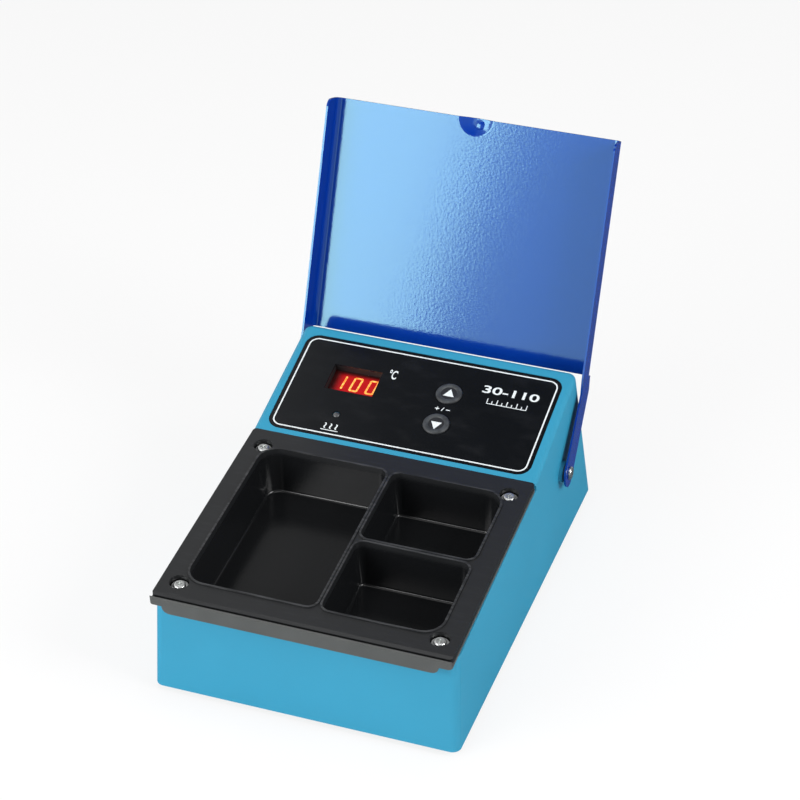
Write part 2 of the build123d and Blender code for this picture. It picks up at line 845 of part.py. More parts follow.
def terminal_block():
    """A row of screw terminals, open at the top for a driver and at the back for wires."""
    size = (terminal_ways * terminal_pitch, terminal_size[0])
    top = power_board_top + terminal_size[1]
    body = slab(size, power_board_top, top, terminal_centre)
    for i in range(terminal_ways):
        place = (terminal_centre[0] + (i - (terminal_ways - 1) / 2) * terminal_pitch, terminal_centre[1])
        body -= disc(terminal_hole_radius, power_board_top + terminal_hole_floor, top + 1, place)
        entry = (place[0], place[1] + terminal_size[0] / 2)
        body -= slab((wire_way, 6), power_board_top + 1.5, power_board_top + 1.5 + wire_way, entry)
    return body


def heatsink():
    top = power_board_top + heatsink_size[2]
    fin_length = heatsink_size[1] - heatsink_wall
    sink = slab((heatsink_size[0], heatsink_wall), power_board_top, top, heatsink_centre)
    for i in range(heatsink_fins):
        x = heatsink_centre[0] + (i - (heatsink_fins - 1) / 2) * heatsink_size[0] / heatsink_fins
        y = heatsink_centre[1] - heatsink_wall / 2 - fin_length / 2
        sink += slab((fin_thickness, fin_length + 1), power_board_top, top, (x, y))
    return sink


def triac():
    y = heatsink_centre[1] + heatsink_wall / 2 + triac_size[1] / 2 + touch
    low = power_board_top + triac_lead
    body = slab(triac_size[:2], low, low + triac_size[2], (heatsink_centre[0], y))
    leads = [slab((0.9, 0.6), power_board_top, low + 1, (heatsink_centre[0] + i * lead_pitch, y)) for i in (-1, 0, 1)]
    return body + joined(leads)


# ---- Rear wall fittings --------------------------------------------------------------
def mains_inlet():
    centre = (inlet_x, fitting_height)
    flange = slab(inlet_flange, touch, inlet_flange_thickness, centre, 4.0)
    flange = fillet(flange.edges().group_by(Axis.Z)[-1], 0.8)
    inlet = flange + slab(grown(inlet_cutout, -slip), -inlet_body_depth, 1, centre, 2.0)
    inlet -= slab(inlet_socket, inlet_flange_thickness - inlet_socket_depth, 10, centre, 3.0)
    inlet -= joined([slab(inlet_pin[:2], -30, 10, place) for place in inlet_pin_places()])
    return on(rear_plane, inlet - discs(screw_radius + slip, -5, 10, inlet_screw_places()))


def inlet_pins():
    low = -inlet_body_depth - inlet_tab_length
    high = inlet_flange_thickness - inlet_socket_depth + inlet_pin[2]
    blade = grown(inlet_pin[:2], -touch)
    return on(rear_plane, joined([slab(blade, low, high, place) for place in inlet_pin_places()]))


def inlet_screws():
    return on(rear_plane, joined([
        pan_screw(place, inlet_flange_thickness, board_head_radius, board_head_height, screw_radius,
                  inlet_screw_length) for place in inlet_screw_places()]))


def inlet_nuts():
    nuts = [prism(Pos(*place) * RegularPolygon(nut_radius, 6), -wall - nut_thickness, -wall)
            for place in inlet_screw_places()]
    return on(rear_plane, joined(nuts) - discs(screw_radius + screw_play, -20, 0, inlet_screw_places()))


def switch_axle(radius, half_length):
    return Pos(switch_x, fitting_height) * rod(radius, -half_length, half_length, 0, -rocker_pivot_depth)


def power_switch_frame():
    centre = (switch_x, fitting_height)
    opening = grown(rocker_size, gap)
    frame = slab(grown(switch_cutout, -slip), -switch_body_depth, 1, centre)
    frame += slab(switch_flange, touch, switch_flange_thickness, centre, 1.0)
    frame -= slab(opening, -switch_body_depth + switch_floor, 10, centre)
    frame += switch_axle(rocker_pivot_radius - running_play, opening[0] / 2 + 0.2)
    low = -switch_body_depth - switch_tab[2]
    for side in (-1, 1):
        place = (switch_x, fitting_height + side * switch_cutout[1] / 4)
        frame += slab(switch_tab[:2], low, -switch_body_depth + 1, place)
    return on(rear_plane, frame)


def power_switch_rocker():
    """Seen from the side, two flats that meet in a shallow V, turning on the frame's axle."""
    half = rocker_size[1] / 2
    rise = half * math.tan(math.radians(rocker_tilt))
    proud = switch_flange_thickness + rocker_proud
    skirt = -rocker_pivot_depth - rocker_pivot_radius - 1
    points = [(-half, proud + rise), (0, proud), (half, proud + rise), (half, 0), (half / 2, skirt),
              (-half / 2, skirt), (-half, 0)]
    outline = make_face(Polyline(*points, close=True))
    upright = Plane((-rocker_size[0] / 2, 0, 0), (0, 1, 0), (1, 0, 0))
    body = upright.location * extrude(outline, amount=rocker_size[0])
    sweep = rod(half, -rocker_size[0], rocker_size[0], 0, -rocker_pivot_depth)
    body &= sweep + slab((2 * rocker_size[0], 2 * half - 2 * gap), 0, 20)
    body -= rod(rocker_pivot_radius, -rocker_size[0], rocker_size[0], 0, -rocker_pivot_depth)
    turned = Pos(0, 0, -rocker_pivot_depth) * Rot(rocker_tilt, 0, 0) * Pos(0, 0, rocker_pivot_depth) * body
    return on(rear_plane, Pos(switch_x, fitting_height) * turned)


def fuse_holder():
    centre = (fuse_x, fitting_height)
    holder = disc(fuse_hole_radius - slip, -fuse_body_length, 1, centre)
    holder += disc(fuse_collar_radius, touch, fuse_collar_thickness, centre)
    holder -= disc(fuse_bore_radius, -glass_fuse_length - gap, 10, centre)
    low = -fuse_body_length - switch_tab[2]
    return on(rear_plane, holder + slab((switch_tab[1], switch_tab[0]), low, -fuse_body_length + 1, centre))


def fuse_nut():
    centre = (fuse_x, fitting_height)
    nut = prism(Pos(*centre) * RegularPolygon(fuse_nut_radius, 6), -wall - fuse_nut_thickness, -wall)
    return on(rear_plane, nut - disc(fuse_hole_radius - slip + screw_play, -30, 10, centre))


def fuse_cap():
    """The turning cap, with a coin slot and grips, and the stem that carries the fuse."""
    centre = (fuse_x, fitting_height)
    low = fuse_collar_thickness + gap
    high = low + fuse_cap_height
    cap = disc(fuse_cap_radius, low, high, centre)
    cap = fillet(cap.edges().sort_by(Axis.Z)[-1], 0.6)
    cap -= slab(fuse_cap_slot, high - fuse_cap_slot[1], high + 1, centre)
    reach = fuse_cap_radius + grip_radius / 2
    for i in range(cap_grips):
        angle = 2 * math.pi * i / cap_grips
        place = (centre[0] + reach * math.cos(angle), centre[1] + reach * math.sin(angle))
        cap -= disc(grip_radius, low - 1, high - 1.2, place)
    cap += disc(fuse_stem_radius, -fuse_stem_length, low + 0.5, centre)
    return on(rear_plane, cap - disc(glass_fuse_radius + touch, -fuse_stem_length - 1, 0, centre))


def glass_fuse():
    return on(rear_plane, disc(glass_fuse_radius, -glass_fuse_length, -touch, (fuse_x, fitting_height)))


# ---- Lid and its hinge ---------------------------------------------------------------
def lid_channel(half, top, bend_round):
    """A filled outline of the lid's cross-section, with round bends."""
    low = lid_outer - lid_flange_depth
    face = make_face(Polyline((-half, low), (-half, top), (half, top), (half, low), close=True))
    return fillet(face.vertices().group_by(Axis.Y)[-1], bend_round)


def arm_plan(start):
    """The arm seen from above: a strip that runs on from the flange and then toes outwards."""
    end = pivot_s + 2 * arm_end_radius
    wide = lid_half_width + arm_spread * (end - lid_rear_s)
    side = lid_half_width - lid_thickness
    inner_bend = lid_rear_s + lid_thickness * math.tan(math.radians(arm_toe_angle / 2))
    points = [(lid_half_width, start), (lid_half_width, lid_rear_s), (wide, end), (wide - arm_thick, end),
              (side, inner_bend), (side, start)]
    return make_face(Polyline(*points, close=True))


def lid_arm():
    """One hinge arm, from its outline seen from the side and its plan."""
    tail = lid_rear_s + lid_flange_tail
    bend = lid_bend_round + lid_thickness
    low = -lid_flange_depth
    start = lid_rear_s - 1
    points = [(start, -bend), (lid_rear_s, -bend), (lid_rear_s, 0), (tail, 0), (tail, low), (start, low)]
    outline = make_face(Polyline(*points, close=True))
    end = Pos(pivot_s, pivot_t - lid_outer) * Circle(arm_end_radius)
    outline += make_hull(Line((tail - 0.5, 0), (tail - 0.5, low)).edges() + end.edges())
    stand = Plane((0, 0, lid_outer), (0, 1, 0), (1, 0, 0))
    side = stand.location * extrude(outline, amount=base_width, both=True)
    return side & prism(arm_plan(start), pivot_t - 2 * arm_end_radius, lid_outer + 1)


def dome(base, height, level, centre, grow=0.0):
    """A ball that stands out of a level as a cap of that radius and height, or a larger ball about its centre."""
    ball = (base ** 2 + height ** 2) / (2 * height)
    return Pos(centre[0], centre[1], level + height - ball) * Sphere(ball + grow)


def with_dimple(sheet):
    """A dished half-round dimple pressed outwards at the front edge, with a small pip in it."""
    centre = (0, lid_front_s)
    reach = 4 * dimple_radius
    behind = slab((reach, reach), lid_inner + touch, lid_outer + 2 * dimple_depth, (0, lid_front_s + reach / 2))
    outer = dome(dimple_radius, dimple_depth, lid_inner, centre, lid_thickness) & behind
    body = sheet + outer - dome(dimple_radius, dimple_depth, lid_inner, centre)
    rims = [e for e in body.edges().filter_by(GeomType.CIRCLE)
            if abs(e.radius - dimple_radius) < 1 and abs((e @ 0.5).X) < 1]
    body = fillet(rims, dimple_round)
    spot = (pip_place[0], lid_front_s + pip_place[1])
    sunk_by = dimple_depth * (1 - (math.hypot(*pip_place) / dimple_radius) ** 2)
    pip_base = lid_inner + sunk_by
    pip = Pos(spot[0], spot[1], 2 * pip_base) * mirror(dome(pip_radius, pip_height, pip_base, (0, 0)), Plane.XY)
    return body + (pip & outer)


def lid():
    side = lid_half_width - lid_thickness
    section = lid_channel(lid_half_width, lid_outer, lid_bend_round + lid_thickness)
    section -= lid_channel(side, lid_inner, lid_bend_round)
    along = Plane((0, lid_front_s, 0), (1, 0, 0), (0, -1, 0)).location
    folded = along * extrude(section, amount=lid_front_s - lid_rear_s)
    free = [e for e in folded.edges().filter_by(Axis.X)
            if (e @ 0.5).Y < lid_front_s + 1 and (e @ 0.5).Z < lid_outer - lid_flange_depth + 1]
    folded = fillet(free, lid_flange_corner) + both_sides(lid_arm())
    folded -= rod(pivot_radius + running_play, -base_width, base_width, pivot_s, pivot_t)
    closed = on(tray_plane, with_dimple(folded))
    return closed.rotate(Axis((0, pivot_y, pivot_z), (1, 0, 0)), -lid_open_angle)


def side_wall_inside(height):
    return base_width / 2 - side_slope * (height - foot_height) - wall


def hinge_spacers():
    ring = hinge_rod(spacer_radius, hinge_pad_face, spacer_face)
    return both_sides(ring - hinge_rod(pivot_radius + screw_play, 0, base_width))


def rivet_washers():
    face = side_wall_inside(pivot_z + rivet_washer_radius) - touch
    ring = hinge_rod(rivet_washer_radius, face - rivet_washer_thickness, face)
    return both_sides(ring - hinge_rod(pivot_radius + screw_play, 0, base_width))


def hinge_rivets():
    tail_face = side_wall_inside(pivot_z + rivet_washer_radius) - touch - rivet_washer_thickness
    head = hinge_rod(rivet_head_radius, rivet_head_underside, rivet_head_underside + rivet_head_height)
    head = fillet(head.edges().sort_by(Axis.X)[-1], rivet_head_height * 0.9)
    tail = hinge_rod(rivet_tail_radius, tail_face - rivet_tail_thickness, tail_face)
    return both_sides(head + tail + hinge_rod(pivot_radius, tail_face - 0.5, rivet_head_underside + 0.5))


# ---- Write one file for each piece ---------------------------------------------------
pieces = (
    housing, base_plate, feet, base_screws,
    wax_tray, tray_frame, tray_screws, tray_washers,
    heater_mat, heater_clamp, insulation_pad, heat_shield, heater_screws, temperature_probe, thermal_cutout,
    panel_label, display_bezel, display_window, display_module,
    button_up, button_down, tact_switches, heating_led,
    control_board, controller_chip, relay, board_screws,
    power_board, power_standoffs, power_board_screws, transformer, terminal_block, heatsink, triac,
    mains_inlet, inlet_pins, inlet_screws, inlet_nuts,
    power_switch_frame, power_switch_rocker,
    fuse_holder, fuse_nut, fuse_cap, glass_fuse,
    lid, hinge_spacers, rivet_washers, hinge_rivets,
)

os.makedirs("parts", exist_ok=True)
made = {piece.__name__: piece() for piece in pieces}
low_y = min(shape.bounding_box().min.Y for shape in made.values())
high_y = max(shape.bounding_box().max.Y for shape in made.values())
centring = Pos(0, -(low_y + high_y) / 2, 0)
for name, shape in made.items():
    export_step(centring * shape, f"parts/{name}.step")

print("moved along y by", round(-(low_y + high_y) / 2, 4))
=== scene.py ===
import math

import bpy
from mathutils import Matrix, Vector


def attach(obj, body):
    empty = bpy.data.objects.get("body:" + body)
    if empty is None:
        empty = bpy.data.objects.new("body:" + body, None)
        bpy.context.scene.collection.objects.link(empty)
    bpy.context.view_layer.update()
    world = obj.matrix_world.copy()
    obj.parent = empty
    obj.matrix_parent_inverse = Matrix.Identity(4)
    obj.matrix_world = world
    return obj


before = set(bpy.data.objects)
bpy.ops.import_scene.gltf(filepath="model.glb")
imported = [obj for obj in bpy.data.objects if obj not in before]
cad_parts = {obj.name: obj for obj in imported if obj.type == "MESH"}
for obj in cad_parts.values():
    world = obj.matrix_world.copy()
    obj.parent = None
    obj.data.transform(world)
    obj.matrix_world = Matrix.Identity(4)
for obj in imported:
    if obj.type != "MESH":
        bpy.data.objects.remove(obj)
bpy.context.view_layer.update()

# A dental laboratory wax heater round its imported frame: finishes for every moulded, cast
# and sheet piece, the printing on the panel and the lit display. Lengths are metres, and
# most are written as a number of millimetres times MM.

MM = 0.001

# ---- Sizes taken from the part -------------------------------------------------------
# Names that end in _S are distances up the panel's slope. LABEL_TOP, KEY_TOP and DISPLAY_FACE
# are heights above the panel's plane.
PANEL_SLOPE = math.radians(14.8)
PANEL_FOOT = Vector((0, -1.2564, 72.7)) * MM
PANEL_LENGTH = 77.6 * MM
TRAY_SLOPE = math.radians(5.1)
TRAY_LENGTH = 132.0 * MM
FOOT_HEIGHT = 3.0 * MM
REAR_RUN = 28.05 * MM
LABEL_TOP = -0.2 * MM
KEY_TOP = 0.5 * MM
DISPLAY_FACE = -5.02 * MM
KEY_X = 15.0 * MM
UP_KEY_S = 46.9 * MM
DOWN_KEY_S = 25.4 * MM
KEY_RADIUS = 7.0 * MM

# Levels on the tray in millimetres above its plate: the raised rims, the plate, the wells.
TRAY_RIM_LEVELS = (0.15, 0.6)
TRAY_PLATE_LEVELS = (-2.0, -0.2)
TRAY_WELL_LEVELS = (-1.0, -4.0)

# ---- Printing on the panel, in (x, s up the slope) -----------------------------------
INK_THICKNESS = 0.05 * MM
BORDER_HALF_WIDTH = 68.2 * MM
BORDER_LOW = 5.2 * MM
BORDER_HIGH = 68.7 * MM
BORDER_RADIUS = 5.0 * MM
BORDER_LINE = 0.75 * MM
DEGREE_BOX = (-19.7 * MM, 49.8 * MM, -15.3 * MM, 56.2 * MM)
RANGE_BOX = (31.0 * MM, 52.4 * MM, 61.0 * MM, 57.6 * MM)
SCALE_LEFT = 35.5 * MM
SCALE_RIGHT = 56.5 * MM
SCALE_LOW = 45.6 * MM
SCALE_TICK = 3.2 * MM
SCALE_SMALL_TICK = 1.8 * MM
SCALE_LINE = 0.45 * MM
SCALE_CORNER = SCALE_LINE * 0.3
SCALE_STEPS = 8
HEAT_CENTRE = (-37.1 * MM, 10.4 * MM)
HEAT_WAVE_PITCH = 3.0 * MM
HEAT_WAVE_SIZE = (1.3 * MM, 3.6 * MM)
HEAT_WAVE_RISE = 0.4 * MM
HEAT_BAR_SIZE = (9.4 * MM, 0.5 * MM)
HEAT_BAR_DROP = 2.4 * MM
HEAT_BAR_CORNER = 0.15 * MM
ARROW_SIDE = 5.8 * MM
ARROW_CORNER = 0.2 * MM
UP_ARROW_SHIFT = (0.3 * MM, -0.4 * MM)
DOWN_ARROW_SHIFT = (0.0, -0.6 * MM)
KEY_MARK_S = 36.1 * MM
KEY_MARK_REACH = 2.9 * MM
KEY_MARK_SIZE = 2.2 * MM
KEY_MARK_LINE = 0.5 * MM
KEY_STROKE_LENGTH = 2.6 * MM
KEY_STROKE_LEAN = -0.35
KEY_MARK_CORNER = 0.12 * MM
KEY_MARK_LIFT = 0.002 * MM
TEXT_SIZE = 10 * MM
TEXT_BOLDNESS = 0.16 * MM
KEY_RIM_INSET = 1.6 * MM
KEY_RIM_RADIUS = 1.3 * MM
KEY_RIM_FLATNESS = 0.34

# ---- Display -------------------------------------------------------------------------
DIGIT_HEIGHT = 9.9 * MM
DIGIT_WIDTH = 5.0 * MM
DIGIT_PITCH = 8.7 * MM
DIGIT_MIDDLE = (-35.9 * MM, 45.4 * MM)
DIGIT_SLANT = math.radians(5)
SEGMENT_WIDTH = 1.0 * MM
SEGMENT_GAP = 0.30 * MM
SEGMENT_THICKNESS = 0.08 * MM
SEGMENT_POINT = 0.46
SEGMENTS_OF = {"1": "bc", "0": "abcdef"}
READING = "100"

# Where the red light fades in, at each edge of the display, in millimetres on the panel.
GLOW_LEFT = (-48.5, -42.5)
GLOW_RIGHT = (-22.6, -25.4)
GLOW_TOP = (52.8, 49.4)
GLOW_FOOT = (37.0, 39.8)

# ---- Camera --------------------------------------------------------------------------
CAMERA_TARGET = Vector((-0.01787, 0.061735, 0.0630))
CAMERA_AZIMUTH = math.radians(19.257)
CAMERA_ELEVATION = math.radians(33.2026)
CAMERA_DISTANCE = 1.27815
CAMERA_LENS = 108.742
CAMERA_SENSOR = 36

# ---- Studio --------------------------------------------------------------------------
FLOOR_RADIUS = 9.0
FLOOR_LEVEL = -0.0003
FLOOR_WHITE = 0.80
FLOOR_TONE = (0.86, 0.86, 0.86)
FLOOR_MIRRORED = (0.13, 0.15, 0.16)
FILL_LIGHT = 0.40
LAMP_AIM = (0, 0, 0.1)

# Each lamp: azimuth, elevation, distance, width and height, and power.
LAMPS = {
    "front_lamp": (-36.5, 19, 1.5, (1.05, 1.00), 20),
    "side_strip": (-11.0, 19, 1.5, (0.26, 1.00), 0.8),
    "right_lamp": (80, 30, 1.5, (0.6, 0.8), 16),
    "top_lamp": (0, 88, 1.6, (0.9, 0.9), 4.5),
}

# What mirrors show of the surroundings, by the x and the z of the direction. Each is a smooth
# change: low and high, then start and end, which are 0 and 1 where they are left out.
SIDE_CHANGE = (-0.18, -0.36, 0.5, 1.3)
HEIGHT_CHANGE = (0.35, 0.9, 0.85, 0.05)
OVERHEAD_ACROSS = (-0.29, -0.38, 0.0, 0.8)
OVERHEAD_HEIGHT = (0.72, 0.82)


# ---- Planes that the part is built on ------------------------------------------------
def plane(origin, across, up):
    """A matrix that puts a flat drawing on a slope: x across it, y up it and z out of it."""
    out = across.cross(up)
    turn = Matrix((across, up, out)).transposed().to_4x4()
    return Matrix.Translation(origin) @ turn


def slope_up(angle):
    return Vector((0, math.cos(angle), math.sin(angle)))


PANEL_REAR = PANEL_FOOT + PANEL_LENGTH * slope_up(PANEL_SLOPE)
TRAY_FRONT = PANEL_FOOT - TRAY_LENGTH * slope_up(TRAY_SLOPE)
REAR_FOOT = Vector((0, PANEL_REAR.y + REAR_RUN, FOOT_HEIGHT))
PANEL = plane(PANEL_FOOT, Vector((1, 0, 0)), slope_up(PANEL_SLOPE))
TRAY = plane(TRAY_FRONT, Vector((1, 0, 0)), slope_up(TRAY_SLOPE))
REAR_WALL = plane(REAR_FOOT, Vector((-1, 0, 0)), (PANEL_REAR - REAR_FOOT).normalized())


# ---- A finish: one material and the few calls that build its nodes -------------------
class Value:
    """An output socket. Arithmetic on it adds the Math nodes that it needs."""

    def __init__(self, finish, socket):
        self.finish = finish
        self.socket = socket

    def maths(self, operation, first, second):
        return self.finish.node("ShaderNodeMath", {"operation": operation}, {0: first, 1: second})

    def __add__(self, other):
        return self.maths("ADD", self, other)

    def __sub__(self, other):
        return self.maths("SUBTRACT", self, other)

    def __rsub__(self, other):
        return self.maths("SUBTRACT", other, self)

    def __mul__(self, other):
        return self.maths("MULTIPLY", self, other)

    __radd__ = __add__
    __rmul__ = __mul__


class Finish:
    """One material. What a finish reads is in millimetres of the part, or of one of its slopes."""

    def __init__(self, name, tree=None):
        self.material = None
        self.tree = tree
        if tree is None:
            self.material = bpy.data.materials.new(name)
            self.material.use_nodes = True
            self.tree = self.material.node_tree
        self.tree.nodes.clear()

    def node(self, kind, settings=None, values=None, out=0):
        """Adds a node, sets it up, links or fills its sockets and returns one of its outputs."""
        node = self.tree.nodes.new(kind)
        for name, setting in (settings or {}).items():
            setattr(node, name, setting)
        for key, value in (values or {}).items():
            self.fill(node.inputs[key], value)
        return Value(self, node.outputs[out]) if node.outputs else node

    def fill(self, socket, value):
        if isinstance(value, Value):
            self.tree.links.new(value.socket, socket)
        elif socket.type == "RGBA" and len(value) == 3:
            socket.default_value = (*value, 1)
        else:
            socket.default_value = value

    def place(self, on=None):
        """The point on the piece in millimetres, in the part's directions or in a slope's."""
        point = self.node("ShaderNodeTexCoord", out="Object")
        back = on.inverted() if on else Matrix.Identity(4)
        settings = {"vector_type": "POINT"}
        values = {
            "Vector": point,
            "Location": back.to_translation() / MM,
            "Rotation": back.to_euler(),
            "Scale": (1 / MM, 1 / MM, 1 / MM),
        }
        return self.node("ShaderNodeMapping", settings, values)

    def part_of(self, vector, axis):
        return self.node("ShaderNodeSeparateXYZ", None, {0: vector}, "XYZ".index(axis))

    def stretched(self, vector, scale):
        return self.node("ShaderNodeVectorMath", {"operation": "MULTIPLY"}, {0: vector, 1: scale})

    def noise(self, vector, size, detail=2.0, roughness=0.5):
        """A cloudy pattern from 0 to 1, with blotches of about this many millimetres."""
        values = {"Vector": vector, "Scale": 1 / size, "Detail": detail, "Roughness": roughness}
        return self.node("ShaderNodeTexNoise", None, values)

    def cells(self, vector, size):
        return self.node("ShaderNodeTexVoronoi", None, {"Vector": vector, "Scale": 1 / size})

    def between(self, value, low, high, start=0.0, end=1.0):
        """Runs smoothly from start to end as a value goes from low to high."""
        values = {0: value, 1: low, 2: high, 3: start, 4: end}
        return self.node("ShaderNodeMapRange", {"interpolation_type": "SMOOTHSTEP"}, values)

    def blend(self, first, second, factor):
        """A colour between two others."""
        values = {0: factor, 6: first, 7: second}
        return self.node("ShaderNodeMix", {"data_type": "RGBA"}, values, 2)

    def relief(self, height, depth):
        """A bump from a height of 0 to 1 that stands for this many millimetres."""
        values = {"Height": height, "Distance": depth * MM, "Strength": 1.0}
        return self.node("ShaderNodeBump", None, values)

    def surface(self, **values):
        """The shader itself. Names are the shader's own, with _ for a space."""
        named = {key.replace("_", " "): value for key, value in values.items()}
        shader = self.node("ShaderNodeBsdfPrincipled", None, named)
        self.node("ShaderNodeOutputMaterial", None, {"Surface": shader})
        return self.material


def shade(colour, amount):
    """A colour made darker or lighter."""
    return tuple(min(1.0, part * amount) for part in colour)


# ---- Finishes of the pieces that show ------------------------------------------------
def housing_plastic():
    """Cyan-blue moulded plastic with a fine spark grain and a satin sheen."""
    f = Finish("housing_plastic")
    blue = (0.027, 0.275, 0.440)
    point = f.place()
    cloud = f.noise(point, 45, 3)
    grain = f.noise(point, 0.55, 2, 0.6)
    pores = f.noise(point, 0.18, 1)
    colour = f.blend(shade(blue, 0.93), shade(blue, 1.06), cloud)
    tinted = f.blend(colour, shade(blue, 1.25), f.between(grain, 0.55, 0.95, 0, 0.25))
    rough = 0.48 + 0.10 * (cloud - 0.5) + 0.08 * (grain - 0.5)
    return f.surface(Base_Color=tinted, Roughness=rough, IOR=1.42,
                     Normal=f.relief(grain * 0.7 + pores * 0.3, 0.018))


def tray_coating():
    """Black non-stick coating: satin on the plate, glossier in the wells and darker there as
    painted shade, with a painted highlight and patchy wear on the raised rims.
    """
    f = Finish("tray_coating")
    black = (0.0100, 0.0108, 0.0120)
    point = f.place(TRAY)
    level = f.part_of(point, "Z")
    peel = f.noise(point, 1.3, 2)
    speck = f.noise(point, 0.35, 1)
    rub = f.noise(f.stretched(point, (0.12, 1.6, 1.0)), 1.8, 3)
    # Painted highlight: the raised rims are made a lighter grey, broken up in patches like wear.
    rim_highlight_and_wear = f.between(level, *TRAY_RIM_LEVELS) * f.between(rub, 0.35, 0.7)
    rubbed_plate = f.between(level, *TRAY_PLATE_LEVELS) * f.between(rub, 0.5, 0.85)
    deep = f.between(level, *TRAY_WELL_LEVELS)
    colour = f.blend(black, shade(black, 2.4), rubbed_plate * 0.6)
    colour = f.blend(colour, (0.055, 0.057, 0.060), rim_highlight_and_wear * 0.8)
    # Painted shade: the colour is made darker down in the wells.
    colour = f.blend(colour, shade(black, 0.55), deep * 0.7)
    rough = 0.40 - 0.22 * deep + 0.10 * (rub - 0.5) - 0.06 * rim_highlight_and_wear
    return f.surface(Base_Color=colour, Roughness=rough, IOR=1.5,
                     Normal=f.relief(peel * 0.75 + speck * 0.25, 0.030))


def frame_plastic():
    """Grey heat-resistant moulding under the tray."""
    f = Finish("frame_plastic")
    grey = (0.082, 0.085, 0.083)
    point = f.place(TRAY)
    cloud = f.noise(point, 14, 3)
    grain = f.noise(point, 0.5, 2)
    colour = f.blend(shade(grey, 0.82), shade(grey, 1.2), cloud)
    return f.surface(Base_Color=colour, Roughness=0.36 + 0.1 * cloud,
                     Normal=f.relief(grain, 0.015))


def label_film():
    """Smooth black polyester film with a very fine texture."""
    f = Finish("label_film")
    point = f.place(PANEL)
    cloud = f.noise(point, 30, 2)
    grain = f.noise(point, 0.25, 1)
    smear = f.noise(f.stretched(point, (0.5, 1.0, 1.0)), 9, 3)
    colour = f.blend((0.0020, 0.0028, 0.0040), (0.0042, 0.0052, 0.0070), cloud)
    return f.surface(Base_Color=colour, Roughness=0.17 + 0.10 * f.between(smear, 0.45, 0.8),
                     IOR=1.48, Normal=f.relief(grain, 0.003))


def white_ink():
    """Screen-printed ink, a little uneven."""
    f = Finish("white_ink")
    point = f.place(PANEL)
    cover = f.noise(point, 0.35, 2)
    colour = f.blend((0.60, 0.66, 0.68), (0.80, 0.84, 0.85), f.between(cover, 0.3, 0.6))
    return f.surface(Base_Color=colour, Roughness=0.45 + 0.1 * cover,
                     Normal=f.relief(cover, 0.004))


def key_plastic():
    """Black soft-touch keys."""
    f = Finish("key_plastic")
    point = f.place(PANEL)
    grain = f.noise(point, 0.3, 2)
    colour = f.blend((0.008, 0.009, 0.011), (0.014, 0.015, 0.018), grain)
    return f.surface(Base_Color=colour, Roughness=0.42 + 0.1 * grain,
                     Normal=f.relief(grain, 0.008))


def key_rim_plastic():
    """The raised ring of a key, greyer where fingers rub it."""
    f = Finish("key_rim_plastic")
    point = f.place(PANEL)
    grain = f.noise(point, 0.4, 2)
    rub = f.noise(point, 4, 2)
    colour = f.blend((0.022, 0.025, 0.028), (0.050, 0.056, 0.061), f.between(rub, 0.35, 0.7))
    return f.surface(Base_Color=colour, Roughness=0.5 + 0.12 * grain,
                     Normal=f.relief(grain, 0.010))


def black_plastic():
    """Matt black moulding behind the panel."""
    f = Finish("black_plastic")
    grain = f.noise(f.place(PANEL), 0.6, 2)
    colour = f.blend((0.006, 0.006, 0.007), (0.012, 0.012, 0.013), grain)
    return f.surface(Base_Color=colour, Roughness=0.5 + 0.1 * grain,
                     Normal=f.relief(grain, 0.01))


def red_window():
    """A thin clear red filter."""
    f = Finish("red_window")
    dust = f.noise(f.place(PANEL), 1.2, 3)
    return f.surface(Base_Color=f.blend((0.030, 0.0, 0.0), (0.050, 0.001, 0.001), dust),
                     Roughness=0.05 + 0.05 * dust, Alpha=0.14 + 0.05 * dust)


def display_face():
    """The face of the display: red light spreads from the lit digits and fades to its edges."""
    f = Finish("display_face")
    point = f.place(PANEL)
    x, s = f.part_of(point, "X"), f.part_of(point, "Y")
    left = f.between(x, *GLOW_LEFT)
    right = f.between(x, *GLOW_RIGHT)
    high = f.between(s, *GLOW_TOP)
    low = f.between(s, *GLOW_FOOT)
    grain = f.noise(point, 0.8, 2)
    glow = left * right * high * low * (0.85 + 0.3 * grain)
    light = f.blend((0.006, 0.0, 0.0), (0.74, 0.003, 0.008), glow)
    return f.surface(Base_Color=(0.03, 0.002, 0.002), Roughness=0.4,
                     Emission_Color=light, Emission_Strength=1.0)


def lit_segment():
    """A glowing segment, yellower in patches."""
    f = Finish("lit_segment")
    point = f.place(PANEL)
    patch = f.noise(point, 0.9, 2)
    light = f.blend((1.0, 0.24, 0.02), (1.0, 0.66, 0.16), f.between(patch, 0.35, 0.65))
    return f.surface(Base_Color=(0.4, 0.05, 0.02), Roughness=0.4,
                     Emission_Color=light, Emission_Strength=1.5)


def lamp_resin():
    """The grey milky dome of an unlit lamp."""
    f = Finish("lamp_resin")
    point = f.place(PANEL)
    milk = f.noise(point, 0.9, 2)
    colour = f.blend((0.045, 0.047, 0.050), (0.085, 0.088, 0.092), milk)
    return f.surface(Base_Color=colour, Roughness=0.22 + 0.08 * milk,
                     Normal=f.relief(milk, 0.006))


def lid_paint():
    """Royal-blue stove enamel with orange peel and a few pinholes."""
    f = Finish("lid_paint")
    blue = (0.0010, 0.030, 0.290)
    point = f.place()
    peel = f.noise(point, 1.3, 2, 0.45)
    fine = f.noise(point, 0.5, 2)
    cloud = f.noise(point, 60, 2)
    pinhole = f.between(f.cells(point, 22), 0.030, 0.015)
    colour = f.blend(shade(blue, 0.92), shade(blue, 1.08), cloud)
    return f.surface(Base_Color=colour, Roughness=0.09 + 0.04 * fine, IOR=1.8,
                     Specular_Tint=(0.52, 1.0, 1.0),
                     Normal=f.relief(peel * 0.8 + fine * 0.1 - pinhole * 0.3, 0.034))


